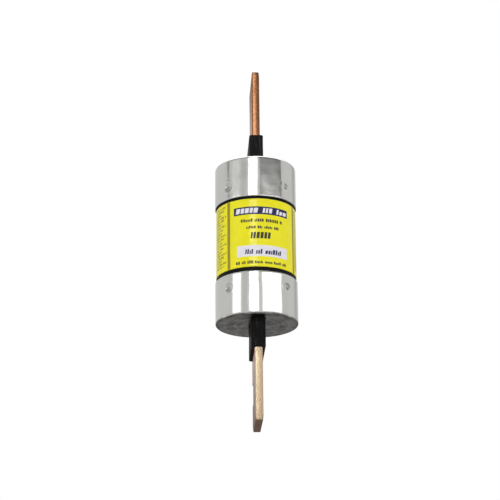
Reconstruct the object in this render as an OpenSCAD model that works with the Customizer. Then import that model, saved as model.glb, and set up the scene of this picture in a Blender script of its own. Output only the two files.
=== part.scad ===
// Knife-blade cartridge fuse with a time-delay trigger, and all that its tube holds.
// Z runs along the fuse and the origin is the middle of the tube. Both blades stand in the
// plane X = 0, their width along Y and their thickness along X. The half of the tube below
// the barrier disc holds short-circuit strips in sand, and the half above it holds the
// overload trigger. Everything at an end is drawn at the upper end and mirrored for the lower.

/* [Fuse] */
// Overall length, from blade tip to blade tip
overall_len = 295.3; // [285:0.1:310]
// Length over the outer faces of the two end caps
body_len = 133; // [131:0.5:136]

/* [Caps] */
// Outer diameter of the end caps
cap_d = 65.8; // [65:0.1:68]
// Length of each cap along the tube
cap_len = 34.9; // [30:0.1:36]
// Thickness of the drawn cap wall
cap_wall = 0.9; // [0.8:0.05:1]
// Thickness of the cap's end face
cap_end = 1; // [0.8:0.1:1.2]
// Outer radius of the cap's rim
cap_rim = 1.5; // [1.1:0.1:2]

/* [Blades] */
// Width of the exposed part of each blade
blade_w = 41.3; // [40.5:0.1:41.5]
// Thickness of the exposed part of each blade
blade_t = 6.35; // [6.2:0.05:6.5]
// Chamfer across the corners of the tip
tip_chamfer = 1; // [1:0.5:6]
// Length of the lead-in bevel on the tip's broad faces
lead_in_len = 4; // [1:0.5:8]
// Depth of the lead-in bevel on each broad face
lead_in = 0.4; // [0.2:0.1:1.5]
// Length of the rejection notch along the lower blade
notch_len = 16; // [8:0.5:24]
// Depth of the rejection notch, from the blade's edge
notch_depth = 11; // [6:0.5:14]

/* [Sleeves] */
// How far each insulating sleeve stands out of its cap
sleeve_out = 23; // [15:0.5:26]
// Width of the sleeve
sleeve_w = 45.2; // [44.5:0.1:46]
// Thickness of the sleeve over both faces of the blade
sleeve_t = 11.4; // [9:0.1:12]

/* [Tube and label] */
// Wall thickness of the insulating tube
tube_wall = 4; // [3:0.5:4]
// Thickness of the label
label_t = 0.15; // [0.1:0.05:0.3]
// Height of the label's lower edge, from the middle of the tube
label_low = -27.9; // [-28:0.1:-20]
// Height of the label's upper edge, from the middle of the tube
label_high = 29.4; // [20:0.1:30.5]

/* [Short-circuit element] */
// Width of each element strip
strip_w = 24; // [22:0.5:26]
// Thickness of each element strip
strip_t = 0.5; // [0.3:0.1:0.8]
// Distance between neighbouring strips
strip_gap = 9; // [7:0.5:10]
// Number of rows of holes across each strip
hole_rows = 5; // [3:1:6]
// Diameter of the holes in the strips
hole_d = 4.4; // [3:0.1:5]

/* [Trigger] */
// How far the spring drives the trigger when the alloy melts
travel = 12; // [6:0.5:12]
// Diameter of the trigger's tip, which the alloy holds in the socket
tip_d = 8; // [6:0.5:9]
// Diameter of the trigger's stem
stem_d = 12; // [9:0.5:13]
// Diameter of the trigger's flange
flange_d = 28; // [27:0.5:32]
// Diameter of the spring's wire
wire_d = 1.8; // [1.4:0.1:2]
// Number of turns of the spring
spring_turns = 4.5; // [4:0.5:4.5]

/* [Hidden] */
$fn = 96;
cut = 1;           // how far a cutter runs past the face that it opens
run_fit = 0.05;    // radial clearance of a sliding fit

// Caps, tube and label
cap_r = cap_d / 2;
tube_r = cap_r - cap_wall;
bore_r = tube_r - tube_wall;
cap_top = body_len / 2;
cap_inside = cap_top - cap_end;
cap_mouth = cap_top - cap_len;
washer_t = 1;
tube_top = cap_inside - washer_t;

// Four pins hold each cap to the tube, each sunk in a dimple of the cap's wall
pin_angles = [45, 135, 225, 315];
pin_z = cap_mouth + 11;
pin_r = 1;
pin_len = 3.4;
pin_head_r = 1.7;
pin_sink = 0.55;
dimple_r = 3.3;
dimple_depth = 0.45;
dimple_ball_r = (dimple_r * dimple_r + dimple_depth * dimple_depth) / (2 * dimple_depth);

// Terminal blocks and the pins that hold them in the tube
block_t = 9.5;
block_low = tube_top - block_t;
block_pin_r = 1.5;
block_pin_z = block_low + 4;
block_pin_depth = 6;
plug_r = 3;
plug_x = 18;

// Blades: the shank under the sleeve is a little slimmer than the exposed blade, so the
// sleeve ends against a shoulder
shank_w = blade_w - 1.6;
shank_t = blade_t - 0.4;
blade_seat = 8;
blade_inner_end = tube_top - blade_seat;
sleeve_end = cap_top + sleeve_out;
tip_z = overall_len / 2;
blade_edge_r = 1;
shank_edge_r = 0.6;
sleeve_edge_r = 2.4;
notch_corner_r = 2;

// Short-circuit strips, the bridge that joins them and the sand round them
strip_seat = 1.2;
bridge_top = 4;
bridge_t = 1.5;
bridge_r = 24;
strip_low = -block_low - strip_seat;
row_pitch = (block_low + bridge_top - bridge_t) / (hole_rows + 1);
hole_places = [-strip_w / 2, -strip_w / 6, strip_w / 6, strip_w / 2];

// Overload trigger, from the barrier up
barrier_t = 3;
barrier_top = bridge_top + barrier_t;
absorber_r = 10;
absorber_top = 17;
alloy_t = 0.7;
alloy_floor = 1;
alloy_top = absorber_top - 1;
socket_low = 9;
tip_low = socket_low + alloy_floor + run_fit;
tip_r = tip_d / 2;
socket_r = tip_r + run_fit + alloy_t;
flange_low = 20;
flange_t = 3;
flange_r = flange_d / 2;
flange_top = flange_low + flange_t;
stem_r = stem_d / 2;
stem_top = block_low - travel - 1;
seat_t = 1;
trigger_washer_t = 1.2;
spring_low = barrier_top + seat_t;
spring_high = flange_low - trigger_washer_t;
spring_r = 12;
contact_low = flange_top + travel + 1;
contact_wall = 3;
contact_flange_t = 3;
contact_flange_r = 14;
slit_w = 1.2;
slit_len = 10;
spacer_wall = 2;

// Draws its children at the upper end, or mirrored at the lower end
module at_end(upper) {
    if (upper) children();
    else mirror([0, 0, 1]) children();
}

// A flat bar's section, with rounded edges: w along Y and t along X
module bar_section(w, t, r) {
    square([t - 2 * r, w], center = true);
    square([t, w - 2 * r], center = true);
    for (x = [-1, 1], y = [-1, 1])
        translate([x * (t / 2 - r), y * (w / 2 - r)]) circle(r, $fn = 32);
}

module bar(w, t, r, z_low, z_high) {
    translate([0, 0, z_low]) linear_extrude(z_high - z_low) bar_section(w, t, r);
}

module ring(r_out, r_in, z_low, z_high) {
    difference() {
        translate([0, 0, z_low]) cylinder(r = r_out, h = z_high - z_low);
        translate([0, 0, z_low - cut]) cylinder(r = r_in, h = z_high - z_low + 2 * cut);
    }
}

// Puts its children, drawn along +X, on the four pins' bearings at height z
module at_pins(z) {
    for (a = pin_angles) rotate([0, 0, a]) translate([0, 0, z]) children();
}

// A round rod along +X from one distance off the axis to another
module radial_rod(r, from, to) {
    translate([from, 0, 0]) rotate([0, 90, 0]) cylinder(r = r, h = to - from, $fn = 32);
}

module body_tube() {
    color([0.07, 0.07, 0.08])
    difference() {
        ring(tube_r, bore_r, -tube_top, tube_top);
        for (upper = [true, false]) at_end(upper) {
            at_pins(pin_z) radial_rod(pin_r, tube_r - pin_len, tube_r + cut);
            at_pins(block_pin_z) radial_rod(block_pin_r, bore_r - cut, tube_r + cut);
        }
    }
}

module label() {
    color([0.93, 0.88, 0.08])
    ring(tube_r + label_t, tube_r, label_low, label_high);
}

// Half section of a cap: an end face and a side wall, with a round rim between them
module cap_section() {
    difference() {
        union() {
            square([cap_r - cap_rim, cap_top]);
            square([cap_r, cap_top - cap_rim]);
            translate([cap_r - cap_rim, cap_top - cap_rim]) circle(cap_rim);
        }
        translate([-cut, -cut]) square([tube_r + cut, cap_inside + cut]);
        translate([-cut, -cut]) square([cap_r + 2 * cut, cap_mouth + cut]);
    }
}

module cap(upper) {
    color([0.76, 0.76, 0.74])
    at_end(upper) difference() {
        rotate_extrude() cap_section();
        bar(sleeve_w, sleeve_t, sleeve_edge_r, cap_inside - cut, cap_top + cut);
        at_pins(pin_z) {
            radial_rod(pin_r, tube_r - cut, cap_r);
            radial_rod(pin_head_r, cap_r - pin_sink, cap_r + cut);
            translate([cap_r + dimple_ball_r - dimple_depth, 0, 0]) sphere(dimple_ball_r);
        }
    }
}

// Domed head in the cap's dimple, and a shank driven into the tube's wall
module cap_pins(upper) {
    color([0.62, 0.62, 0.62])
    at_end(upper) at_pins(pin_z) {
        radial_rod(pin_r, tube_r - pin_len, cap_r - pin_sink);
        translate([cap_r - pin_sink, 0, 0]) rotate([0, 90, 0]) rotate_extrude($fn = 32)
            intersection() {
                translate([0, -2 * pin_head_r + pin_sink]) circle(2 * pin_head_r);
                square([pin_head_r, pin_head_r]);
            }
    }
}

// The exposed blade: a bar with its tip bevelled on the faces and chamfered at the corners
module exposed_blade() {
    tip_w = blade_w / 2 - tip_chamfer;
    tip_t = blade_t / 2 - lead_in;
    intersection() {
        bar(blade_w, blade_t, blade_edge_r, sleeve_end, tip_z);
        rotate([90, 0, 90]) linear_extrude(blade_t + 2 * cut, center = true)
            polygon([[-blade_w / 2, sleeve_end], [blade_w / 2, sleeve_end],
                [blade_w / 2, tip_z - tip_chamfer], [tip_w, tip_z],
                [-tip_w, tip_z], [-blade_w / 2, tip_z - tip_chamfer]]);
        rotate([90, 0, 0]) linear_extrude(blade_w + 2 * cut, center = true)
            polygon([[-blade_t / 2, sleeve_end], [blade_t / 2, sleeve_end],
                [blade_t / 2, tip_z - lead_in_len], [tip_t, tip_z],
                [-tip_t, tip_z], [-blade_t / 2, tip_z - lead_in_len]]);
    }
}

module blade() {
    exposed_blade();
    bar(shank_w, shank_t, shank_edge_r, blade_inner_end, sleeve_end);
}

// Rejection notch: open at the blade's +Y edge, with round inner corners
module notch() {
    low = (sleeve_end + tip_z - notch_len) / 2;
    bottom = blade_w / 2 - notch_depth;
    rotate([90, 0, 90]) linear_extrude(blade_t + 2 * cut, center = true) {
        translate([bottom, low + notch_corner_r])
            square([notch_depth + cut, notch_len - 2 * notch_corner_r]);
        translate([bottom + notch_corner_r, low])
            square([notch_depth + cut - notch_corner_r, notch_len]);
        for (z = [low + notch_corner_r, low + notch_len - notch_corner_r])
            translate([bottom + notch_corner_r, z]) circle(notch_corner_r, $fn = 32);
    }
}

module upper_blade() {
    color([0.80, 0.53, 0.38]) blade();
}

module lower_blade() {
    color([0.86, 0.70, 0.58])
    at_end(false) difference() {
        blade();
        notch();
    }
}

module blade_sleeve(upper) {
    color([0.10, 0.10, 0.11])
    at_end(upper) difference() {
        bar(sleeve_w, sleeve_t, sleeve_edge_r, cap_inside, sleeve_end);
        bar(shank_w, shank_t, shank_edge_r, cap_inside - cut, sleeve_end + cut);
    }
}

module terminal_block(upper) {
    color([0.78, 0.62, 0.30])
    at_end(upper) difference() {
        translate([0, 0, block_low]) cylinder(r = bore_r, h = block_t);
        bar(shank_w, shank_t, shank_edge_r, blade_inner_end, tube_top + cut);
        at_pins(block_pin_z) radial_rod(block_pin_r, bore_r - block_pin_depth, tube_r);
    }
}

module lower_terminal_block() {
    color([0.78, 0.62, 0.30])
    difference() {
        terminal_block(false);
        for (i = [-1:1]) strip_slot(i);
        translate([plug_x, 0, -tube_top - cut]) cylinder(r = plug_r, h = block_t + 2 * cut);
    }
}

module terminal_pins(upper) {
    color([0.55, 0.56, 0.58])
    at_end(upper) intersection() {
        at_pins(block_pin_z) radial_rod(block_pin_r, bore_r - block_pin_depth, tube_r + cut);
        cylinder(r = tube_r, h = cap_top);
    }
}

module sealing_washer(upper) {
    color([0.55, 0.30, 0.18])
    at_end(upper) difference() {
        translate([0, 0, tube_top]) cylinder(r = tube_r, h = washer_t);
        bar(shank_w, shank_t, shank_edge_r, tube_top - cut, cap_inside + cut);
    }
}

module filler_plug() {
    color([0.70, 0.55, 0.25])
    translate([plug_x, 0, -tube_top]) cylinder(r = plug_r, h = block_t);
}

// The bar that strip i fills, from the lower block up through the bridge
module strip_slot(i) {
    translate([i * strip_gap - strip_t / 2, -strip_w / 2, strip_low])
        cube([strip_t, strip_w, bridge_top - strip_low]);
}

// One strip: rows of holes and edge notches leave narrow necks that melt first
module element_strip(i) {
    color([0.85, 0.50, 0.32])
    difference() {
        strip_slot(i);
        for (row = [1:hole_rows], y = hole_places)
            translate([i * strip_gap, y, row * row_pitch - block_low]) rotate([0, 90, 0])
                cylinder(d = hole_d, h = strip_t + 2 * cut, center = true, $fn = 24);
    }
}

module sand_filler() {
    color([0.80, 0.75, 0.64])
    difference() {
        translate([0, 0, -block_low]) cylinder(r = bore_r, h = block_low + bridge_top);
        translate([0, 0, bridge_top - bridge_t]) cylinder(r = bridge_r, h = bridge_t + cut);
        for (i = [-1:1]) element_strip(i);
    }
}

module strip_bridge() {
    color([0.82, 0.48, 0.30])
    difference() {
        translate([0, 0, bridge_top - bridge_t]) cylinder(r = bridge_r, h = bridge_t);
        for (i = [-1:1]) strip_slot(i);
    }
}

module barrier_disc() {
    color([0.50, 0.26, 0.16])
    ring(bore_r, absorber_r, bridge_top, barrier_top);
}

module heat_absorber() {
    color([0.78, 0.44, 0.28])
    difference() {
        translate([0, 0, bridge_top]) cylinder(r = absorber_r, h = absorber_top - bridge_top);
        translate([0, 0, socket_low]) cylinder(r = socket_r, h = absorber_top);
    }
}

module fusing_alloy() {
    color([0.60, 0.60, 0.62])
    difference() {
        translate([0, 0, socket_low]) cylinder(r = socket_r, h = alloy_top - socket_low);
        translate([0, 0, socket_low + alloy_floor]) cylinder(r = tip_r + run_fit, h = alloy_top);
    }
}

module spring_seat() {
    color([0.72, 0.66, 0.52])
    ring(flange_r, absorber_r, barrier_top, spring_low);
}

// Rise of the wire's middle after t turns: the end turns lie closed, the rest are even
function coil_rise(t) = let (
        rise = spring_high - spring_low - wire_d,
        closed = wire_d + 0.1,
        pitch = (rise - 2 * closed) / (spring_turns - 2))
    t < 1 ? t * closed
        : t > spring_turns - 1 ? rise - (spring_turns - t) * closed
        : closed + (t - 1) * pitch;

module trigger_spring() {
    per_turn = 16;
    sides = 8;
    rings = per_turn * spring_turns;
    points = [for (k = [0:rings], s = [0:sides - 1])
        let (turn = k / per_turn,
            r = spring_r + wire_d / 2 * cos(s * 360 / sides),
            z = spring_low + wire_d / 2 * (1 + sin(s * 360 / sides)) + coil_rise(turn))
        [r * cos(360 * turn), r * sin(360 * turn), z]];
    walls = [for (k = [0:rings - 1], s = [0:sides - 1])
        let (a = k * sides + s, b = k * sides + (s + 1) % sides)
        [a, b, b + sides, a + sides]];
    start_face = [[for (s = [sides - 1:-1:0]) s]];
    end_face = [[for (s = [0:sides - 1]) rings * sides + s]];
    color([0.66, 0.67, 0.70])
    polyhedron(points, concat(start_face, walls, end_face), convexity = 10);
}

module trigger_washer() {
    color([0.74, 0.68, 0.54])
    ring(flange_r, tip_r, spring_high, flange_low);
}

module trigger_plunger() {
    color([0.80, 0.64, 0.32]) {
        translate([0, 0, tip_low]) cylinder(r = tip_r, h = flange_low - tip_low);
        translate([0, 0, flange_low]) cylinder(r = flange_r, h = flange_t);
        translate([0, 0, flange_top]) cylinder(r = stem_r, h = stem_top - flange_top);
    }
}

// Tube with a flange against the upper block, slit at its mouth to grip the stem
module contact_tube() {
    outer_r = stem_r + run_fit + contact_wall;
    color([0.80, 0.64, 0.32])
    difference() {
        union() {
            ring(outer_r, stem_r + run_fit, contact_low, block_low);
            ring(contact_flange_r, stem_r + run_fit, block_low - contact_flange_t, block_low);
        }
        for (a = [0, 90]) rotate([0, 0, a])
            translate([-outer_r - cut, -slit_w / 2, contact_low - cut])
                cube([2 * (outer_r + cut), slit_w, slit_len + cut]);
    }
}

module chamber_spacer() {
    color([0.60, 0.38, 0.24])
    ring(bore_r, bore_r - spacer_wall, barrier_top, block_low);
}

body_tube();
label();
cap(true);  // upper_cap
cap(false);  // lower_cap
cap_pins(true);  // upper_cap_pins
cap_pins(false);  // lower_cap_pins
upper_blade();
lower_blade();
blade_sleeve(true);  // upper_blade_sleeve
blade_sleeve(false);  // lower_blade_sleeve
terminal_block(true);  // upper_terminal_block
lower_terminal_block();
terminal_pins(true);  // upper_terminal_pins
terminal_pins(false);  // lower_terminal_pins
sealing_washer(true);  // upper_sealing_washer
sealing_washer(false);  // lower_sealing_washer
filler_plug();
element_strip(-1);  // left_element_strip
element_strip(0);  // centre_element_strip
element_strip(1);  // right_element_strip
sand_filler();
strip_bridge();
barrier_disc();
heat_absorber();
fusing_alloy();
spring_seat();
trigger_spring();
trigger_washer();
trigger_plunger();
contact_tube();
chamber_spacer();
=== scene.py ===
"""Looks of the knife-blade cartridge fuse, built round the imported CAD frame.

Units are metres, in the frame's own axes: +Z along the fuse, the blades' width along Y.
Bearings go round the fuse: 0 faces -Y, where the camera stands, and 90 faces +X.
"""
import math
import random

import bmesh
import bpy
from mathutils import Matrix, Vector


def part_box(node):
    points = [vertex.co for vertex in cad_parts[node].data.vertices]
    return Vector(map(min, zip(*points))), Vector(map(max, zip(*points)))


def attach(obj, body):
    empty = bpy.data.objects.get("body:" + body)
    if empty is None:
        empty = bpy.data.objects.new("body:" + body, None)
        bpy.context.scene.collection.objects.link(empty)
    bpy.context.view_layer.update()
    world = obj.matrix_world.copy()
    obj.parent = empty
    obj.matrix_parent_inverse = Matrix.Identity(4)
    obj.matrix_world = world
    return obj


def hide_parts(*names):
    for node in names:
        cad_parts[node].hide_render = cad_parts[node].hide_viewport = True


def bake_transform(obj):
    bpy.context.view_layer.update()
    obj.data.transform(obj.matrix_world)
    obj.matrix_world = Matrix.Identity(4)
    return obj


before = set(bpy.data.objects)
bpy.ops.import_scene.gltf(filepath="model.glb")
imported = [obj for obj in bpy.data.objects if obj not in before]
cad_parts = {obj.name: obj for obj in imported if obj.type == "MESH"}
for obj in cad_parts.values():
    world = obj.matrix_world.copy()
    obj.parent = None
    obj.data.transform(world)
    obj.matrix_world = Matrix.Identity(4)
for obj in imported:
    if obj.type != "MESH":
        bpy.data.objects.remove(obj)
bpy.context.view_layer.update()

MM = 0.001

# ---------------------------------------------------------------- sizes from the frame

CAP_LOW, CAP_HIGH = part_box("upper_cap")
CAP_R = CAP_HIGH.x
CAP_MOUTH = CAP_LOW.z
CAP_TOP = CAP_HIGH.z
TUBE_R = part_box("body_tube")[1].x
LABEL_LOW, LABEL_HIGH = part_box("label")
LABEL_R = LABEL_HIGH.x
SLEEVE_LOW, SLEEVE_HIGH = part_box("upper_blade_sleeve")
BLADE_LOW, BLADE_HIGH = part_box("upper_blade")
PINS_LOW, PINS_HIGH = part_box("upper_cap_pins")
PIN_Z = (PINS_LOW.z + PINS_HIGH.z) / 2
SPRING_LOW, SPRING_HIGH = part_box("trigger_spring")

# Details of the CAD pieces that their boxes don't give
CAP_RIM = 1.5 * MM
CAP_FACE_T = 1.0 * MM
PIN_BEARINGS = (45, 135, 225, 315)
DIMPLE_R = 3.3 * MM
DIMPLE_DEPTH = 0.45 * MM
SLEEVE_CORNER = 2.4 * MM
SHANK_SLIMMER_W = 1.6 * MM
SHANK_SLIMMER_T = 0.4 * MM
TIP_CHAMFER = 1 * MM
LEAD_IN_LEN = 4 * MM
LEAD_IN = 0.4 * MM
NOTCH_LEN = 16 * MM
NOTCH_DEPTH = 11 * MM
NOTCH_CORNER = 2 * MM
SPRING_WIRE = 1.8 * MM
SPRING_TURNS = 4.5

# ---------------------------------------------------------------- camera

VIEW_BEARING = -3.0
VIEW_ELEVATION = -20.53
VIEW_DISTANCE = 1.192
VIEW_ROLL = 0.68
VIEW_LENS = 106.3
VIEW_SHIFT = (-0.0121, -0.0055)


def bearing_vector(bearing, elevation=0.0):
    """Unit vector that points away from the fuse at that bearing and elevation, in degrees."""
    b, e = math.radians(bearing), math.radians(elevation)
    return Vector((math.sin(b) * math.cos(e), -math.cos(b) * math.cos(e), math.sin(e)))


def make_camera():
    camera = bpy.data.objects.new("camera", bpy.data.cameras.new("camera"))
    bpy.context.scene.collection.objects.link(camera)
    away = bearing_vector(VIEW_BEARING, VIEW_ELEVATION)
    roll = Matrix.Rotation(math.radians(VIEW_ROLL), 4, away)
    aim = (-away).to_track_quat("-Z", "Y").to_matrix().to_4x4()
    camera.matrix_world = Matrix.Translation(away * VIEW_DISTANCE) @ roll.inverted() @ aim
    camera.data.sensor_width = 36
    camera.data.lens = VIEW_LENS
    camera.data.shift_x, camera.data.shift_y = VIEW_SHIFT
    camera.data.clip_start = 0.05
    camera.data.clip_end = 50
    bpy.context.scene.camera = camera


# ---------------------------------------------------------------- node graphs


class Graph:
    """A node tree written one call at a time. Sockets and plain values both serve as inputs."""

    def __init__(self, tree):
        self.tree = tree
        self.tree.nodes.clear()

    def add(self, kind, inputs=None, **settings):
        node = self.tree.nodes.new(kind)
        for name, value in settings.items():
            setattr(node, name, value)
        for name, value in (inputs or {}).items():
            self.put(node.inputs[name], value)
        return node

    def put(self, socket, value):
        if isinstance(value, bpy.types.NodeSocket):
            self.tree.links.new(value, socket)
        else:
            socket.default_value = value

    def math(self, operation, a, b=0.0, c=0.0):
        return self.add("ShaderNodeMath", {0: a, 1: b, 2: c}, operation=operation).outputs[0]

    def dot(self, vector, constant):
        node = self.add("ShaderNodeVectorMath", {0: vector, 1: constant}, operation="DOT_PRODUCT")
        return node.outputs["Value"]

    def scaled(self, vector, factors):
        node = self.add("ShaderNodeVectorMath", {0: vector, 1: factors}, operation="MULTIPLY")
        return node.outputs[0]

    def place(self):
        """Position on the piece, in metres."""
        return self.add("ShaderNodeTexCoord").outputs["Object"]

    def off_axis(self):
        """Distance from the fuse's axis, in metres."""
        flat = self.scaled(self.place(), (1, 1, 0))
        return self.add("ShaderNodeVectorMath", {0: flat}, operation="LENGTH").outputs["Value"]

    def off_middle(self):
        """Distance from the fuse's middle along its axis, in metres."""
        return self.math("ABSOLUTE", self.dot(self.place(), (0, 0, 1)))

    def noise(self, scale, detail=3.0, roughness=0.5, stretch=(1, 1, 1), at=None):
        where = self.scaled(at or self.place(), stretch)
        inputs = {"Vector": where, "Scale": scale, "Detail": detail, "Roughness": roughness}
        return self.add("ShaderNodeTexNoise", inputs).outputs["Fac"]

    def rings(self, scale, detail, roughness):
        """Noise that changes only with the distance from the axis."""
        reach = self.math("MULTIPLY", self.off_axis(), scale)
        where = self.add("ShaderNodeCombineXYZ", {"X": reach}).outputs[0]
        return self.noise(1.0, detail, roughness, at=where)

    def mean(self, a, b, share):
        """The weighted mean of two values: share of a, and the rest of b."""
        rest = self.math("MULTIPLY", b, 1 - share)
        return self.math("ADD", self.math("MULTIPLY", a, share), rest)

    def cells(self, scale, output="Distance"):
        inputs = {"Vector": self.place(), "Scale": scale}
        return self.add("ShaderNodeTexVoronoi", inputs).outputs[output]

    def step(self, value, start, end, low=0.0, high=1.0):
        """low below start and high above end, with a smooth change between them."""
        inputs = {"Value": value, "From Min": start, "From Max": end, "To Min": low, "To Max": high}
        node = self.add("ShaderNodeMapRange", inputs, interpolation_type="SMOOTHSTEP")
        return node.outputs["Result"]

    def span(self, value, low, high, soft):
        """1 between low and high and 0 outside, changing over soft on both sides of each limit."""
        rising = self.step(value, low - soft, low + soft)
        falling = self.step(value, high - soft, high + soft, 1.0, 0.0)
        return self.math("MULTIPLY", rising, falling)

    def blend(self, factor, a, b):
        """Colour a where factor is 0 and b where it is 1."""
        node = self.add("ShaderNodeMix", data_type="RGBA")
        self.put(node.inputs[0], factor)
        self.put(node.inputs[6], a)
        self.put(node.inputs[7], b)
        return node.outputs[2]

    def bump(self, height, distance, strength=1.0, under=None):
        inputs = {"Height": height, "Distance": distance, "Strength": strength}
        if under is not None:
            inputs["Normal"] = under
        return self.add("ShaderNodeBump", inputs).outputs["Normal"]


def rgb(red, green, blue):
    return (red, green, blue, 1.0)


def shade(colour, factor):
    """The colour made darker, as a tuple of three."""
    return tuple(factor * part for part in colour)


def new_material(name):
    """A material, its graph and its shader, which is joined to the output."""
    material = bpy.data.materials.new(name)
    material.use_nodes = True
    graph = Graph(material.node_tree)
    shader = graph.add("ShaderNodeBsdfPrincipled")
    output = graph.add("ShaderNodeOutputMaterial")
    graph.tree.links.new(shader.outputs[0], output.inputs["Surface"])
    return material, graph, shader


def finish_shader(graph, shader, colour, roughness, normal=None, **constants):
    """Joins what varies to the shader, and sets what is the same all over on its own sockets."""
    graph.put(shader.inputs["Base Color"], colour)
    graph.put(shader.inputs["Roughness"], roughness)
    if normal is not None:
        graph.put(shader.inputs["Normal"], normal)
    for name, value in constants.items():
        shader.inputs[name.replace("_", " ")].default_value = value


# ---------------------------------------------------------------- studio

WHITE = rgb(1.0, 1.0, 1.0)
FLOOR_Z = -0.62
FLOOR_R = 9.0
FLOOR_SIDES = 96
FLOOR_PALE = (0.84, 0.84, 0.83)
FLOOR_GREY = (0.80, 0.80, 0.79)
# Distances from the axis between which the floor clears to the backdrop's white
FLOOR_CLEAR = (0.5, 2.6)

# Each soft box or flag: centre bearing from the camera's side, half its width, its lowest and
# highest elevation, how soft its edges are, all in degrees, and its brightness
PANELS = (
    ("back_wall", 180, 24, 2, 90, 8, 0.66),
    ("back_top", 180, 40, 26, 90, 1.5, 0.18),
    ("under_back", 180, 72, -48, 15, 2, 0.20),
    ("right_gap", 140, 10, 16, 90, 2, 0.48),
    ("left_gap", -83, 4, 22.6, 90, 0.5, 0.26),
    ("left_slot", -33, 6, 16, 90, 2, 0.58),
    ("right_flag", 47, 33, 21.4, 46, 1.0, 0.17),
    ("left_box", -57, 13, 16, 21, 1.5, 1.75),
    ("left_box_top", -57, 11, 21, 25.5, 2, 0.74),
    ("right_box", 45, 29, 16, 21.4, 1.0, 1.75),
    ("front_box_ends", -7, 11, 16.9, 25.1, 0.5, 1.6),
    ("front_box", -7, 11, 18.9, 23.0, 0.8, 8.5),
    ("right_top", 46, 36, 25.4, 50, 1.0, 0.07),
    ("left_top", -55, 45, 25.4, 50, 1.0, 0.34),
    ("right_low", 70, 30, -26, 15, 2, 0.34),
    ("left_low", -65, 30, -26, 15, 2, 0.50),
)

# The light that no panel covers: brightnesses, and the elevations in degrees between which one
# gives way to the next. The ground's light is added underneath.
SKY_LOW, SKY_MIDDLE, SKY_HIGH = 0.04, 0.64, 2.45
GROUND = 0.50
GROUND_TO_LOW = (-64, -50)
LOW_TO_MIDDLE = (-32, -24)
MIDDLE_TO_HIGH = (32, 60)


def make_world():
    """A white backdrop for the camera; soft boxes and flags all round for the fuse to reflect."""
    world = bpy.data.worlds.new("studio")
    bpy.context.scene.world = world
    world.use_nodes = True
    graph = Graph(world.node_tree)
    way = graph.add("ShaderNodeTexCoord").outputs["Generated"]
    front = graph.dot(way, bearing_vector(VIEW_BEARING))
    side = graph.dot(way, bearing_vector(VIEW_BEARING + 90))
    bearing = graph.math("DEGREES", graph.math("ARCTAN2", side, front))
    elevation = graph.math("DEGREES", graph.math("ARCSINE", graph.dot(way, (0, 0, 1))))
    low_part = graph.step(elevation, *LOW_TO_MIDDLE, SKY_LOW, SKY_MIDDLE)
    high_part = graph.step(elevation, *MIDDLE_TO_HIGH, 0.0, SKY_HIGH - SKY_MIDDLE)
    ground = graph.step(elevation, *GROUND_TO_LOW, GROUND, 0.0)
    light = graph.math("ADD", graph.math("ADD", low_part, high_part), ground)
    for _name, centre, half, bottom, top, soft, level in PANELS:
        turned = graph.math("SUBTRACT", bearing, centre)
        off = graph.math("ABSOLUTE", graph.math("WRAP", turned, 180.0, -180.0))
        across = graph.step(off, half - soft, half + soft, 1.0, 0.0)
        upright = graph.span(elevation, bottom, top, soft)
        inside = graph.math("MULTIPLY", across, upright)
        change = graph.math("MULTIPLY", graph.math("SUBTRACT", level, light), inside)
        light = graph.math("ADD", light, change)
    seen = graph.add("ShaderNodeLightPath").outputs["Is Camera Ray"]
    shown = graph.blend(seen, light, WHITE)
    background = graph.add("ShaderNodeBackground", {"Color": shown})
    output = graph.add("ShaderNodeOutputWorld")
    graph.tree.links.new(background.outputs[0], output.inputs["Surface"])


def make_floor():
    """A pale round floor that clears to the backdrop's white away from the fuse."""
    material, graph, shader = new_material("floor_paper")
    grain = graph.noise(400, 2)
    tone = graph.blend(grain, rgb(*FLOOR_GREY), rgb(*FLOOR_PALE))
    finish_shader(graph, shader, tone, 0.9)
    glow = graph.add("ShaderNodeEmission", {"Color": WHITE})
    clear = graph.step(graph.off_axis(), *FLOOR_CLEAR)
    mixed = graph.add("ShaderNodeMixShader", {0: clear, 1: shader.outputs[0], 2: glow.outputs[0]})
    output = graph.tree.nodes["Material Output"]
    graph.tree.links.new(mixed.outputs[0], output.inputs["Surface"])
    mesh = bmesh.new()
    bmesh.ops.create_circle(mesh, cap_ends=True, segments=FLOOR_SIDES, radius=FLOOR_R)
    floor = object_from(mesh, "floor", material)
    floor.location.z = FLOOR_Z
    floor.visible_glossy = False


# ---------------------------------------------------------------- mesh helpers


def object_from(mesh, name, material, smooth=True):
    """A new object from a bmesh."""
    data = bpy.data.meshes.new(name)
    bmesh.ops.recalc_face_normals(mesh, faces=mesh.faces)
    mesh.to_mesh(data)
    mesh.free()
    data.materials.append(material)
    for face in data.polygons:
        face.use_smooth = smooth
    piece = bpy.data.objects.new(name, data)
    bpy.context.scene.collection.objects.link(piece)
    return piece


def add_grid(mesh, rows, closed_rows=True, closed_columns=True):
    """Joins rows of points, each a list of equal length, with four-sided faces."""
    made = [[mesh.verts.new(point) for point in row] for row in rows]
    row_count, column_count = len(made), len(made[0])
    for i in range(row_count if closed_rows else row_count - 1):
        for j in range(column_count if closed_columns else column_count - 1):
            lower, upper = made[i], made[(i + 1) % row_count]
            right = (j + 1) % column_count
            mesh.faces.new((lower[j], lower[right], upper[right], upper[j]))
    return made


def cylinder_point(radius, bearing, z):
    return bearing_vector(bearing) * radius + Vector((0, 0, z))


def arc(centre_r, centre_z, radius, start, end, steps):
    """Points (r, z) along an arc, at angles in degrees from the outward direction."""
    angles = [math.radians(start + (end - start) * k / steps) for k in range(steps + 1)]
    return [(centre_r + radius * math.cos(a), centre_z + radius * math.sin(a)) for a in angles]


def steps_between(start, end, pitch):
    count = max(1, round(abs(end - start) / pitch))
    return [start + (end - start) * k / count for k in range(count + 1)]


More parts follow.
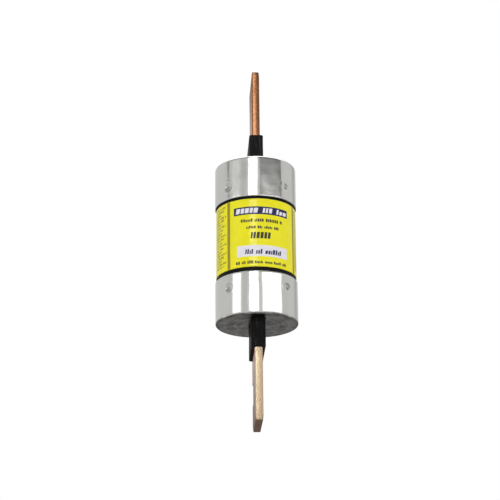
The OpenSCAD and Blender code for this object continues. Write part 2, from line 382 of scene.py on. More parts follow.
def ease(t):
    t = min(1.0, max(0.0, t))
    return t * t * (3 - 2 * t)


def at_end(points, upper):
    """Points drawn for the upper end, or turned over for the lower end."""
    return points if upper else [[Vector((p.x, p.y, -p.z)) for p in row] for row in points]


# ---------------------------------------------------------------- caps

CAP_COLUMNS = 540
CAP_MESH_PITCH = 0.8 * MM
CAP_FACE_ROWS = 28
CAP_RIM_STEPS = 10
MOUTH_STEPS = 4
CAP_WAVE = 0.035 * MM
# Around each pin the wall sinks a little over a wide ring and is thrown up in a narrow one
CAP_DENT = 0.10 * MM
DENT_REACH = 3.0
LIP_REACH = 1.9
# The end face steps in a little inside this radius
FACE_STEP_R = 27.5 * MM
FACE_STEP = 0.22 * MM
FACE_STEP_SOFT = 0.9 * MM
MOUTH_EDGE = 0.28 * MM
MOUTH_FLARE = 0.15 * MM
SLOT_EDGE = 0.30 * MM
SLOT_CLEAR = 0.12 * MM
LINING_CLEAR = 0.02 * MM
LINING_CORNER = 0.6 * MM


def slot_reach(bearing):
    """How far the cap's slot for the sleeve reaches from the axis at a bearing."""
    half_x, half_y = SLEEVE_HIGH.x + SLOT_CLEAR, SLEEVE_HIGH.y + SLOT_CLEAR
    way = bearing_vector(bearing)
    x, y = abs(way.x), abs(way.y)
    reach = min(half_x / max(x, 1e-6), half_y / max(y, 1e-6))
    corner_x, corner_y = half_x - SLEEVE_CORNER, half_y - SLEEVE_CORNER
    if reach * x > corner_x and reach * y > corner_y:
        along = x * corner_x + y * corner_y
        off = corner_x ** 2 + corner_y ** 2 - SLEEVE_CORNER ** 2
        reach = along + math.sqrt(max(0.0, along ** 2 - off))
    return reach


def wall_wave(bearing, z, phase):
    """The drawn wall's slight unevenness, outward."""
    b = math.radians(bearing)
    wide = math.sin(5 * b + phase) * math.sin(z / (9 * MM) + 2 * phase)
    fine = math.sin(13 * b + 3 * phase) * math.sin(z / (4.5 * MM) + b + phase)
    return CAP_WAVE * (wide + 0.4 * fine)


def dimple(bearing, z):
    """How far the wall is driven in round a pin, with the rim of metal thrown up round it."""
    depth = 0.0
    for pin in PIN_BEARINGS:
        across = (bearing - pin + 180) % 360 - 180
        off = math.hypot(math.radians(across) * CAP_R, z - PIN_Z) / DIMPLE_R
        if off < 1:
            depth += DIMPLE_DEPTH * (1 - off * off)
        elif off < LIP_REACH:
            depth -= CAP_DENT / 2 * math.sin(math.pi * (off - 1) / (LIP_REACH - 1)) ** 2
        if off < DENT_REACH:
            depth += CAP_DENT * (1 + math.cos(math.pi * off / DENT_REACH)) / 2
    return depth


def cap_rows(phase):
    """Rows round the upper cap's skin, from the mouth up the wall, over the rim, in along the
    face to the slot, and back down the inside."""
    columns = [360 * k / CAP_COLUMNS for k in range(CAP_COLUMNS)]
    reaches = [slot_reach(b) for b in columns]
    inner_r = TUBE_R + LINING_CLEAR
    wall = arc(CAP_R - MOUTH_EDGE, CAP_MOUTH + MOUTH_EDGE, MOUTH_EDGE, -90, 0, MOUTH_STEPS)
    wall_z = steps_between(CAP_MOUTH + MOUTH_EDGE, CAP_TOP - CAP_RIM, CAP_MESH_PITCH)
    wall += [(CAP_R, z) for z in wall_z[1:-1]]
    wall += arc(CAP_R - CAP_RIM, CAP_TOP - CAP_RIM, CAP_RIM, 0, 90, CAP_RIM_STEPS)
    rows = []
    for r, z in wall:
        row = []
        for b in columns:
            share = ease((CAP_TOP - z) / CAP_RIM) * ease((z - CAP_MOUTH) / (2 * MM) + 0.35)
            change = wall_wave(b, z, phase) - dimple(b, z)
            row.append(cylinder_point(r + share * change, b, z))
        rows.append(row)
    face_edge = CAP_R - CAP_RIM
    for t in steps_between(0.0, 1.0, 1 / CAP_FACE_ROWS)[1:]:
        row = []
        for b, reach in zip(columns, reaches):
            r = face_edge + (reach + SLOT_EDGE - face_edge) * t
            low = FACE_STEP * ease((FACE_STEP_R - r) / FACE_STEP_SOFT + 0.5)
            row.append(cylinder_point(r, b, CAP_TOP - low))
        rows.append(row)
    for k in range(1, 4):
        a = math.radians(30 * k)
        drop = FACE_STEP + SLOT_EDGE * (1 - math.cos(a))
        shift = SLOT_EDGE * (1 - math.sin(a))
        height = CAP_TOP - drop
        rows.append([cylinder_point(r + shift, b, height) for b, r in zip(columns, reaches)])
    inside = CAP_TOP - CAP_FACE_T
    under = inside - LINING_CLEAR
    rows.append([cylinder_point(r, b, under) for b, r in zip(columns, reaches)])
    lining = (
        (inner_r - LINING_CORNER, inside),
        (inner_r, inside - LINING_CORNER),
        (inner_r, CAP_MOUTH + MOUTH_EDGE),
        (inner_r + MOUTH_FLARE, CAP_MOUTH),
    )
    for r, z in lining:
        rows.append([cylinder_point(r, b, z) for b in columns])
    return rows


def make_cap(name, upper, phase, material):
    mesh = bmesh.new()
    add_grid(mesh, at_end(cap_rows(phase), upper))
    cap = object_from(mesh, name + "_shell", material)
    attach(cap, "case")
    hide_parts(name)


PLATE_CLEAN = (0.80, 0.80, 0.775)
PLATE_SMEARED = (0.73, 0.73, 0.70)
PLATE_STAINED = (0.60, 0.585, 0.55)
FACE_DARK = (0.20, 0.195, 0.185)
FACE_BRIGHT = (0.76, 0.74, 0.71)
FACE_RING = (0.36, 0.35, 0.33)


def plating_colour(graph, smears, rings, on_face):
    """Pale plate with stains on the wall, and dark and bright turned rings on the end face."""
    stain = graph.step(graph.noise(38, 6, 0.65), 0.52, 0.75)
    clean = graph.blend(smears, rgb(*PLATE_CLEAN), rgb(*PLATE_SMEARED))
    wall = graph.blend(graph.math("MULTIPLY", stain, 0.5), clean, rgb(*PLATE_STAINED))
    grey = graph.mean(graph.rings(330.0, 2, 0.6), graph.noise(170, 4, 0.6), 0.45)
    face = graph.blend(graph.step(grey, 0.36, 0.64), rgb(*FACE_DARK), rgb(*FACE_BRIGHT))
    face = graph.blend(graph.math("MULTIPLY", rings, 0.4), face, rgb(*FACE_RING))
    return graph.blend(on_face, wall, face)


def plating_material():
    """Satin tin plate: faint drawing lines round the wall, turned rings on the face, smears."""
    material, graph, shader = new_material("tin_plate")
    on_face = graph.step(graph.off_middle(), CAP_TOP - 0.6 * MM, CAP_TOP - 0.3 * MM)
    drawn_lines = graph.noise(1.0, 4, 0.7, (25, 25, 2600))
    rings = graph.rings(1500.0, 3, 0.7)
    smears = graph.noise(70, 5, 0.6)
    specks = graph.noise(1400, 2)
    rough = graph.math("MULTIPLY_ADD", smears, 0.12, 0.05)
    rough = graph.math("MULTIPLY_ADD", specks, 0.03, rough)
    rough = graph.math("MULTIPLY_ADD", on_face, 0.16, rough)
    dents = graph.bump(graph.noise(95, 2, 0.4), 0.05 * MM)
    drawn = graph.bump(drawn_lines, 0.004 * MM, under=dents)
    normal = graph.bump(graph.math("MULTIPLY", rings, on_face), 0.02 * MM, under=drawn)
    colour = plating_colour(graph, smears, rings, on_face)
    finish_shader(graph, shader, colour, rough, normal, Metallic=1.0)
    return material


# ---------------------------------------------------------------- label

# The film's end laps over its start at this bearing, and settles back over the ramp, in degrees
SEAM_BEARING = 150.0
SEAM_STEP = 0.13 * MM
SEAM_RAMP = 9.0
SEAM_COLUMNS = (0.0, 0.15, 0.6)
LABEL_EDGE = 0.06 * MM
LABEL_UNDER = 0.03 * MM
FILM_BRIGHT = (0.95, 0.895, 0.008)
FILM_DULL = (0.87, 0.785, 0.005)
# Painted shadow for the thin line along the lap's edge
PAINTED_SEAM_SHADOW = (0.42, 0.34, 0.01)


def label_radius(bearing):
    """The label's outer radius: it steps up where its end laps over its start."""
    past = (bearing - SEAM_BEARING) % 360
    return LABEL_R + SEAM_STEP * (1 - ease(past / SEAM_RAMP))


def make_label(material):
    past = [*SEAM_COLUMNS, *map(float, range(1, 360)), 359.4, 359.97]
    columns = [SEAM_BEARING + p for p in past]
    low, high = LABEL_LOW.z, LABEL_HIGH.z
    profile = [(-LABEL_EDGE, low), (0, low + LABEL_EDGE)]
    profile += [(0, z) for z in steps_between(low + 1 * MM, high - 1 * MM, 2 * MM)]
    profile += [(0, high - LABEL_EDGE), (-LABEL_EDGE, high)]
    inner = TUBE_R - LABEL_UNDER
    rows = [[cylinder_point(inner, b, low) for b in columns]]
    for inset, z in profile:
        rows.append([cylinder_point(label_radius(b) + inset, b, z) for b in columns])
    rows.append([cylinder_point(inner, b, high) for b in columns])
    mesh = bmesh.new()
    add_grid(mesh, rows)
    label = object_from(mesh, "label_wrap", material)
    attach(label, "case")
    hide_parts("label")


def label_material():
    """Yellow printed film under a clear gloss, with a thin painted shadow line where its end laps
    over its start.
    """
    material, graph, shader = new_material("yellow_film")
    place = graph.place()
    front = graph.dot(place, bearing_vector(SEAM_BEARING))
    side = graph.dot(place, bearing_vector(SEAM_BEARING + 90))
    past = graph.math("DEGREES", graph.math("ARCTAN2", side, front))
    mottle = graph.noise(120, 4, 0.6)
    fibres = graph.noise(1.0, 3, 0.6, (500, 500, 160))
    film = graph.blend(mottle, rgb(*FILM_BRIGHT), rgb(*FILM_DULL))
    # A thin painted shadow line along the edge of the lap, darkening the film
    seam_shadow_line = graph.span(past, -1.2, 0.3, 0.5)
    colour = graph.blend(graph.math("MULTIPLY", seam_shadow_line, 0.4), film, rgb(*PAINTED_SEAM_SHADOW))
    rough = graph.math("MULTIPLY_ADD", mottle, 0.10, 0.14)
    height = graph.math("ADD", fibres, graph.math("MULTIPLY", mottle, 2.0))
    normal = graph.bump(height, 0.003 * MM)
    finish_shader(graph, shader, colour, rough, normal, Specular_IOR_Level=0.38)
    return material


# ---------------------------------------------------------------- printing on the label

# Bearings in degrees and heights in mm, measured from the front panel's middle line
PRINT_CENTRE = 6.5
BACK_CENTRE = PRINT_CENTRE + 178
PRINT_T = 0.03 * MM
PRINT_SINK = 0.02 * MM
INK_OVER_INK = 0.02 * MM
# Blocks of ink: ink, left, right, lower and upper edge
FRONT_BLOCKS = (
    ("navy", -42, 41, 16.0, 22.6),
    ("white", -37, 39, -19.3, -10.1),
)
# Lines of strokes: ink, left, right, lower and upper edge, width of a stroke, gap, slant, and
# whether it is printed over a block
FRONT_LINES = (
    ("white", -39, 39, 17.2, 21.4, 6.4, 0.22, 1.4, True),
    ("black", -31, 31, 9.6, 12.2, 2.9, 0.24, 0.0, False),
    ("black", -23, 26, 3.9, 6.2, 2.5, 0.24, 0.0, False),
    ("black", -17, 15, -4.4, 0.9, 4.8, 0.26, 1.2, False),
    ("navy", -25, 29, -17.4, -13.4, 3.8, 0.26, 0.8, True),
    ("black", -39, 37, -25.4, -23.0, 2.3, 0.24, 0.0, False),
)
# A rule stands on each side of the front panel, with a column of small lines beyond it
PANEL_LEFT = 51.5
PANEL_RIGHT = 57.0
RULE_HALF = 2.6
RULE_CLEAR = 0.3
COLUMN_LINES = 20
COLUMN_TOP = 25.5
COLUMN_PITCH = 2.6
# The block of lines at the back, two thin rules under it and a line between them
BACK_LINES = 9
BACK_TOP = 20
BACK_PITCH = 3.2
BACK_RULES = (-20, -13)
INKS = (
    ("navy", (0.012, 0.016, 0.085)),
    ("black", (0.045, 0.040, 0.018)),
    ("olive", (0.36, 0.29, 0.015)),
    ("white", (0.90, 0.87, 0.95)),
)


def add_patch(mesh, start, end, low, high, slant=0.0, lift=0.0):
    """A thin closed patch of ink on the label, from one bearing and height to another."""
    columns = max(2, math.ceil(abs(end - start) / 1.5) + 1)
    outer, inner = [], []
    for z, lean in ((low, 0.0), (high, slant)):
        bearings = [start + lean + (end - start) * k / (columns - 1) for k in range(columns)]
        outer.append([cylinder_point(label_radius(b) + PRINT_T + lift, b, z) for b in bearings])
        inner.append([cylinder_point(label_radius(b) - PRINT_SINK, b, z) for b in bearings])
    rows = [outer[0], outer[1], inner[1], inner[0]]
    made = add_grid(mesh, rows, closed_rows=True, closed_columns=False)
    for edge in (0, -1):
        mesh.faces.new([row[edge] for row in made])


def add_words(mesh, start, end, low, high, letter, gap, rng, slant=0.0, lift=0.0):
    """A line of plain strokes in word-like groups, which stands for text without being any."""
    at = start
    left_in_word = rng.randint(3, 8)
    while at < end - 0.4 * letter:
        width = letter * rng.uniform(0.45, 0.95)
        rise = (high - low) * rng.choice((0.0, 0.0, 0.28))
        add_patch(mesh, at, min(at + width, end), low, high - rise, slant, lift)
        at += width + gap * letter
        left_in_word -= 1
        if left_in_word == 0:
            at += 0.9 * letter
            left_in_word = rng.randint(3, 8)


def print_front(inks, rng):
    """The blocks and lines of the panel that faces the camera."""
    c = PRINT_CENTRE
    for ink, left, right, low, high in FRONT_BLOCKS:
        add_patch(inks[ink], c + left, c + right, low * MM, high * MM)
    for ink, left, right, low, high, letter, gap, slant, over in FRONT_LINES:
        lift = INK_OVER_INK if over else 0.0
        start, end = c + left, c + right
        add_words(inks[ink], start, end, low * MM, high * MM, letter, gap, rng, slant, lift)


def print_sides(ink, rng):
    """The rule and the column of small lines on each side of the front panel."""
    low, high = LABEL_LOW.z + RULE_CLEAR * MM, LABEL_HIGH.z - RULE_CLEAR * MM
    for side, edge in ((-1, PRINT_CENTRE - PANEL_LEFT), (1, PRINT_CENTRE + PANEL_RIGHT)):
        add_patch(ink, edge - RULE_HALF, edge + RULE_HALF, low, high)
        start, end = sorted((edge + 5 * side, edge + 32 * side))
        for k in range(COLUMN_LINES):
            line = COLUMN_TOP * MM - COLUMN_PITCH * MM * k
            add_words(ink, start, end - 5 * (k % 3), line, line + 1.6 * MM, 1.9, 0.24, rng)


def print_back(ink, rng):
    """The block of lines at the back, and the line between two rules under it."""
    left, right = BACK_CENTRE - 30, BACK_CENTRE + 30
    for k in range(BACK_LINES):
        line = BACK_TOP * MM - BACK_PITCH * MM * k
        add_words(ink, left, right - 7 * (k % 3), line, line + 1.4 * MM, 1.9, 0.26, rng)
    for low in BACK_RULES:
        add_patch(ink, left, right, low * MM, low * MM + 0.35 * MM)
    start, end = BACK_CENTRE - 26, BACK_CENTRE + 22
    add_words(ink, start, end, -17.6 * MM, -15.0 * MM, 3.2, 0.26, rng)


def make_printing():
    """The printed blocks and lines, each ink one piece."""
    rng = random.Random(7)
    inks = {name: bmesh.new() for name, _colour in INKS}
    print_front(inks, rng)
    print_sides(inks["olive"], rng)
    print_back(inks["black"], rng)
    for name, colour in INKS:
        material = ink_material(name + "_ink", colour)
        piece = object_from(inks[name], "label_print_" + name, material, smooth=False)
        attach(piece, "case")


def ink_material(name, colour):
    """Screen-printed ink, a little uneven in tone and gloss."""
    material, graph, shader = new_material(name)
    patchy = graph.noise(900, 3, 0.6)
    thin = tuple(0.86 * part + 0.02 for part in colour)
    tone = graph.blend(patchy, rgb(*colour), rgb(*thin))
    rough = graph.math("MULTIPLY_ADD", patchy, 0.15, 0.25)
    normal = graph.bump(patchy, 0.004 * MM)
    finish_shader(graph, shader, tone, rough, normal, Specular_IOR_Level=0.3)
    return material


# ---------------------------------------------------------------- sleeves

SLEEVE_SIDE_POINTS = 14
SLEEVE_CORNER_POINTS = 9
SLEEVE_PITCH = 0.8 * MM
SLEEVE_WAVE = 0.10 * MM
SLEEVE_SINK = 0.35 * MM
SLEEVE_LIP = 0.45 * MM
LIP_TURN_IN = 0.30 * MM
BORE_CORNER = 0.8 * MM
BORE_CLEAR = 0.02 * MM
MOULDING_BLACK = (0.003, 0.003, 0.003)
MOULDING_DUSTY = (0.010, 0.009, 0.009)
# Grey of the streaks along the blade: partly drag lines, partly painted highlight lines
MOULDING_DRAG_AND_SHEEN = (0.040, 0.039, 0.041)


def rounded_outline(half_x, half_y, corner, side_points, corner_points):
    """Points (x, y) round a rectangle with round corners, always the same number of them."""
    points = []
    centres = ((1, 1, 0), (-1, 1, 90), (-1, -1, 180), (1, -1, 270))
    for index, (sx, sy, start) in enumerate(centres):
        cx, cy = sx * (half_x - corner), sy * (half_y - corner)
        for k in range(corner_points):
            a = math.radians(start + 90 * k / (corner_points - 1))
            points.append((cx + corner * math.cos(a), cy + corner * math.sin(a)))
        nx, ny, next_start = centres[(index + 1) % 4]
        a = math.radians(next_start)
        end_x = nx * (half_x - corner) + corner * math.cos(a)
        end_y = ny * (half_y - corner) + corner * math.sin(a)
        x, y = points[-1]
        for k in range(1, side_points + 1):
            t = k / (side_points + 1)
            points.append((x + (end_x - x) * t, y + (end_y - y) * t))
    return points


def sleeve_ring(inset, corner):
    return rounded_outline(SLEEVE_HIGH.x - inset, SLEEVE_HIGH.y - inset, corner,
                           SLEEVE_SIDE_POINTS, SLEEVE_CORNER_POINTS)


def sleeve_wall_point(x, y, z, phase):
    """A point of the outer wall. Outside the cap both broad walls sink a little, unevenly."""
    free = ease((z - CAP_TOP) / (3 * MM))
    pull = math.sin(y / (7 * MM) + phase) * math.sin(z / (5 * MM) + 2 * phase)
    crown = 1 - (y / SLEEVE_HIGH.y) ** 2
    sink = free * (SLEEVE_SINK * crown + SLEEVE_WAVE * pull)
    return Vector((x - math.copysign(sink, x) * min(1, abs(x) / (3 * MM)), y, z))


def sleeve_rows(phase):
    """Rows up the outer wall, over the lip and back down the bore round the shank."""
    low, high = SLEEVE_LOW.z, SLEEVE_HIGH.z
    outline = sleeve_ring(0, SLEEVE_CORNER)
    rows = []
    for z in steps_between(low, high - SLEEVE_LIP, SLEEVE_PITCH):
        rows.append([sleeve_wall_point(x, y, z, phase) for x, y in outline])
    for k in range(1, 4):
        a = math.radians(30 * k)
        inset = SLEEVE_LIP * (1 - math.cos(a)) + LIP_TURN_IN * (k / 3)
        z = high - SLEEVE_LIP * (1 - math.sin(a))
        rows.append([Vector((x, y, z)) for x, y in sleeve_ring(inset, SLEEVE_CORNER - inset)])
    bore_x = BLADE_HIGH.x - SHANK_SLIMMER_T / 2 + BORE_CLEAR
    bore_y = BLADE_HIGH.y - SHANK_SLIMMER_W / 2 + BORE_CLEAR
    bore = rounded_outline(bore_x, bore_y, BORE_CORNER, SLEEVE_SIDE_POINTS, SLEEVE_CORNER_POINTS)
    for z in (high - 0.1 * MM, high - 0.6 * MM, low):
        rows.append([Vector((x, y, z)) for x, y in bore])
    return rows


def make_sleeve(name, upper, phase, material):
    """A moulded sleeve with soft, slightly slumped walls and a round lip at its open end."""
    rows = sleeve_rows(phase)
    mesh = bmesh.new()
    add_grid(mesh, at_end(rows, upper))
    sleeve = object_from(mesh, name + "_moulding", material)
    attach(sleeve, "case")
    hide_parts(name)


def sleeve_material():
    """Black moulded plastic with fine drag lines along the blade, lighter grey streaks that are
    partly painted highlight lines, and dusty rubbed patches.
    """
    material, graph, shader = new_material("black_moulding")
    drag = graph.noise(1.0, 4, 0.65, (900, 900, 60))
    rubbed = graph.noise(130, 5, 0.6)
    grain = graph.noise(2600, 2)
    dusty = graph.step(rubbed, 0.45, 0.75)
    black = graph.blend(dusty, rgb(*MOULDING_BLACK), rgb(*MOULDING_DUSTY))
    # Lighter grey streaks along the blade: partly drag lines, partly painted highlight lines
    tone = graph.blend(graph.step(drag, 0.52, 0.72), black, rgb(*MOULDING_DRAG_AND_SHEEN))
    rough = graph.math("MULTIPLY_ADD", rubbed, 0.25, 0.38)
    normal = graph.bump(graph.mean(drag, grain, 0.6), 0.012 * MM)
    finish_shader(graph, shader, tone, rough, normal, Specular_IOR_Level=BLACK_SPECULAR)
    return material


# ---------------------------------------------------------------- blades

BLADE_EDGE = 1.0 * MM
SHANK_EDGE = 0.6 * MM
SHANK_OVERLAP = 0.5 * MM
UPPER_CROWN = 0.30 * MM
LOWER_CROWN = 0.10 * MM
# How much of the long edges' rounding the tip's sheared edges have
TIP_EDGE_SHARE = 0.2
# Edges that turn by more than this, in degrees, are shaded as sharp
SHARP_ANGLE = 35
NOTCH_CORNER_STEPS = 6
# Tones of each copper: bright and dull grain, and the tone of the broad faces
UPPER_COPPER = ((0.54, 0.25, 0.125), (0.39, 0.17, 0.075), (0.46, 0.19, 0.08))
LOWER_COPPER = ((0.71, 0.58, 0.38), (0.57, 0.45, 0.29), (0.78, 0.48, 0.36))
TIP_BROWN = (0.46, 0.19, 0.07)


def blade_outline(notched):
    """Corner points (y, z) of an exposed blade's broad face, drawn for the upper end."""
    half = BLADE_HIGH.y
    tip, root = BLADE_HIGH.z, SLEEVE_HIGH.z
    points = [(-half, root), (half, root)]
    if notched:
        middle = (root + tip) / 2
        low, high = middle - NOTCH_LEN / 2, middle + NOTCH_LEN / 2
        corner_y = half - NOTCH_DEPTH + NOTCH_CORNER
        points.append((half, low))
        turns = ((low + NOTCH_CORNER, -90, -180), (high - NOTCH_CORNER, 180, 90))
        for z, start, end in turns:
            points += arc(corner_y, z, NOTCH_CORNER, start, end, NOTCH_CORNER_STEPS)
        points.append((half, high))
    points += [(half, tip - TIP_CHAMFER), (half - TIP_CHAMFER, tip)]
    points += [(TIP_CHAMFER - half, tip), (-half, tip - TIP_CHAMFER)]
    return points


def inset_outline(points, insets):
    """The outline with each of its sides moved inward by its own distance."""
    count = len(points)
    normals = []
    for i, (y, z) in enumerate(points):
        next_y, next_z = points[(i + 1) % count]
        length = math.hypot(next_y - y, next_z - z)
        normals.append(((z - next_z) / length, (next_y - y) / length))
    moved = []
    for i, (y, z) in enumerate(points):
        (ay, az), (by, bz) = normals[i - 1], normals[i]
        a, b = insets[i - 1], insets[i]
        turn = ay * bz - az * by
        if abs(turn) < 0.02:
            moved.append((y + b * by, z + b * bz))
        else:
            moved.append((y + (a * bz - b * az) / turn, z + (b * ay - a * by) / turn))
    return moved


def edge_profile(thickness, edge_r, crown):
    """Pairs (x, inset) through the thickness: round corners and a slightly crowned edge."""
    flat = thickness / 2 - edge_r
    half = []
    for angle in (90, 75, 60, 45, 30, 15, 0):
        a = math.radians(angle)
        x = flat + edge_r * math.sin(a)
        half.append((x, edge_r * (1 - math.cos(a)) + crown * (2 * x / thickness) ** 2))
    half += [(flat * t, crown * (2 * flat * t / thickness) ** 2) for t in (0.75, 0.5, 0.25)]
    return half + [(0.0, 0.0)] + [(-x, inset) for x, inset in reversed(half)]


def add_plate(mesh, outline, thickness, edge_r, crown=0.0):
    """A flat plate in the plane X = 0: long edges rounded and crowned, sheared tip nearly sharp."""
    root, tip = outline[0][1], max(z for _y, z in outline)
    shares = []
    for i, (_y, z) in enumerate(outline):
        middle = (z + outline[(i + 1) % len(outline)][1]) / 2
        near_tip = middle > tip - TIP_CHAMFER
        shares.append(0.0 if middle == root else TIP_EDGE_SHARE if near_tip else 1.0)
    rows = []
    for x, inset in edge_profile(thickness, edge_r, crown):
        ring = inset_outline(outline, [inset * share for share in shares])
        rows.append([Vector((x, y, z)) for y, z in ring])
    made = add_grid(mesh, rows, closed_rows=False)
    mesh.faces.new(made[0])
    mesh.faces.new(made[-1][::-1])


def thin_tip(mesh):
    """Slopes both broad faces in towards the tip, where the blade enters its clip."""
    start = BLADE_HIGH.z - LEAD_IN_LEN
    for vert in mesh.verts:
        share = max(0.0, (abs(vert.co.z) - start) / LEAD_IN_LEN)
        vert.co.x *= 1 - share * LEAD_IN / BLADE_HIGH.x


def make_blade(name, upper, crown, material):
    """The exposed plate and the slimmer shank that runs in through the sleeve."""
    mesh = bmesh.new()
    add_plate(mesh, blade_outline(not upper), 2 * BLADE_HIGH.x, BLADE_EDGE, crown)
    everything = mesh.verts[:] + mesh.edges[:] + mesh.faces[:]
    slope_start = (0, 0, BLADE_HIGH.z - LEAD_IN_LEN)
    bmesh.ops.bisect_plane(mesh, geom=everything, plane_co=slope_start, plane_no=(0, 0, 1))
    thin_tip(mesh)
    half = BLADE_HIGH.y - SHANK_SLIMMER_W / 2
    root, inner = SLEEVE_HIGH.z + SHANK_OVERLAP, BLADE_LOW.z
    outline = [(-half, inner), (half, inner), (half, root), (-half, root)]
    shank = bmesh.new()
    add_plate(shank, outline, 2 * BLADE_HIGH.x - SHANK_SLIMMER_T, SHANK_EDGE)
    data = bpy.data.meshes.new("shank")
    shank.to_mesh(data)
    shank.free()
    mesh.from_mesh(data)
    bpy.data.meshes.remove(data)
    if not upper:
        bmesh.ops.scale(mesh, vec=(1, 1, -1), verts=mesh.verts)
        bmesh.ops.reverse_faces(mesh, faces=mesh.faces)
    for edge in mesh.edges:
        edge.smooth = edge.calc_face_angle(0.0) < math.radians(SHARP_ANGLE)
    blade = object_from(mesh, name + "_plate", material)
    even = blade.modifiers.new("even_normals", "WEIGHTED_NORMAL")
    even.weight = 80
    even.keep_sharp = True
    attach(blade, "case")
    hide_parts(name)


def copper_colour(graph, tones, rolled, tarnish):
    """Grain with darker tarnish, another tone on the broad faces and a brown sheared tip."""
    bright, dull, broad = tones
    grain = graph.blend(rolled, rgb(*bright), rgb(*dull))
    aged = graph.blend(graph.math("MULTIPLY", tarnish, 0.6), grain, rgb(*shade(dull, 0.62)))
    depth = graph.math("ABSOLUTE", graph.dot(graph.place(), (1, 0, 0)))
    on_face = graph.step(depth, 1.6 * MM, 2.7 * MM)
    faced = graph.blend(graph.math("MULTIPLY", on_face, 0.8), aged, rgb(*broad))
    tip = BLADE_HIGH.z
    at_tip = graph.step(graph.off_middle(), tip - 0.5 * MM, tip - 0.15 * MM)
    return graph.blend(graph.math("MULTIPLY", at_tip, 0.9), faced, rgb(*TIP_BROWN))


def copper_material(name, tones):
    """Rolled copper bar: grain and scratches along the blade, and tarnish in patches."""
    material, graph, shader = new_material(name)
    rolled = graph.noise(1.0, 5, 0.65, (1600, 1600, 22))
    fine = graph.noise(1.0, 3, 0.6, (5200, 5200, 90))
    tarnish = graph.step(graph.noise(60, 6, 0.62), 0.46, 0.72)
    rough = graph.math("MULTIPLY_ADD", rolled, 0.12, 0.16)
    rough = graph.math("MULTIPLY_ADD", tarnish, 0.14, rough)
    lines = graph.math("ADD", rolled, graph.math("MULTIPLY", fine, 0.5))
    scratched = graph.bump(lines, 0.012 * MM)
    normal = graph.bump(graph.noise(220, 3, 0.5), 0.03 * MM, under=scratched)
    colour = copper_colour(graph, tones, rolled, tarnish)
    finish_shader(graph, shader, colour, rough, normal, Metallic=1.0)
    return material


# ---------------------------------------------------------------- trigger spring

SPRING_PER_TURN = 40
SPRING_SIDES = 14
CLOSED_GAP = 0.1 * MM


def coil_rise(turn, rise):
    """Height of the wire's middle: the end turns lie closed and the rest are even."""
    closed = SPRING_WIRE + CLOSED_GAP
    pitch = (rise - 2 * closed) / (SPRING_TURNS - 2)
    if turn < 1:
        return turn * closed
    if turn > SPRING_TURNS - 1:
        return rise - (SPRING_TURNS - turn) * closed
    return closed + (turn - 1) * pitch


def make_spring(material):
    """The coil spring that pushes the trigger out."""
    wire_r = SPRING_WIRE / 2
    coil_r = SPRING_HIGH.x - wire_r
    rise = SPRING_HIGH.z - SPRING_LOW.z - SPRING_WIRE
    rows = []
    for k in range(int(SPRING_PER_TURN * SPRING_TURNS) + 1):
        turn = k / SPRING_PER_TURN
        out = Vector((math.cos(math.tau * turn), math.sin(math.tau * turn), 0))
        middle = out * coil_r + Vector((0, 0, SPRING_LOW.z + wire_r + coil_rise(turn, rise)))
        row = []
        for side in range(SPRING_SIDES):
            a = math.tau * side / SPRING_SIDES
            row.append(middle + out * wire_r * math.cos(a) + Vector((0, 0, wire_r * math.sin(a))))
        rows.append(row)
    mesh = bmesh.new()
    made = add_grid(mesh, rows, closed_rows=False)
    mesh.faces.new(made[0])
    mesh.faces.new(made[-1])
    spring = object_from(mesh, "trigger_spring_coil", material)
    for face in spring.data.polygons:
        face.use_smooth = len(face.vertices) == 4
    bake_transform(spring)
    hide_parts("trigger_spring")


# ---------------------------------------------------------------- other materials

TOOL_MARK = 0.01 * MM
BLACK_SPECULAR = 0.12
# Name, bright and dull tone, how much the tool lines are squeezed each way, and lowest roughness
METALS = {
    "block": ("turned_brass", (0.80, 0.62, 0.28), (0.66, 0.48, 0.20), (1800, 1800, 1800), 0.2),
    "trigger": ("drawn_brass", (0.84, 0.66, 0.32), (0.72, 0.54, 0.24), (40, 40, 3000), 0.14),
    "pins": ("zinc_steel", (0.60, 0.60, 0.61), (0.46, 0.46, 0.47), (2200, 2200, 2200), 0.22),
    "strips": ("element_copper", (0.90, 0.50, 0.32), (0.78, 0.40, 0.24), (2400, 2400, 60), 0.2),
    "spring": ("spring_steel", (0.66, 0.67, 0.70), (0.52, 0.53, 0.56), (900, 900, 900), 0.12),
}
RED_FIBRE = ((0.42, 0.13, 0.06), (0.22, 0.06, 0.03))
BUFF_FIBRE = ((0.62, 0.52, 0.34), (0.42, 0.33, 0.20))
RESIN_BLACK = (0.003, 0.003, 0.003)
WEAVE_GREY = (0.014, 0.013, 0.013)
SAND_PALE = (0.74, 0.66, 0.50)
SAND_GAP = (0.34, 0.28, 0.19)
ALLOY_BRIGHT = (0.62, 0.62, 0.64)
ALLOY_FROST = (0.40, 0.40, 0.42)


def machined_metal(name, bright, dull, stretch, rough_low):
    """Machined metal: fine tool lines, slight patches of tarnish, uneven gloss."""
    material, graph, shader = new_material(name)
    lines = graph.noise(1.0, 4, 0.65, stretch)
    patches = graph.noise(110, 5, 0.6)
    base = graph.blend(lines, rgb(*bright), rgb(*dull))
    tarnish = graph.step(patches, 0.5, 0.8, 0.0, 0.6)
    colour = graph.blend(tarnish, base, rgb(*shade(dull, 0.6)))
    rough = graph.math("MULTIPLY_ADD", patches, 0.2, rough_low)
    finish_shader(graph, shader, colour, rough, graph.bump(lines, TOOL_MARK), Metallic=1.0)
    return material


def fibre_material(name, light, dark):
    """Vulcanised fibre: short matted fibres in layers, slightly waxy."""
    material, graph, shader = new_material(name)
    layers = graph.noise(1.0, 4, 0.7, (260, 260, 1800))
    matted = graph.noise(700, 5, 0.7)
    mix = graph.mean(layers, matted, 0.5)
    colour = graph.blend(mix, rgb(*dark), rgb(*light))
    rough = graph.math("MULTIPLY_ADD", matted, 0.2, 0.5)
    normal = graph.bump(mix, 0.03 * MM)
    finish_shader(graph, shader, colour, rough, normal, Specular_IOR_Level=0.4)
    return material


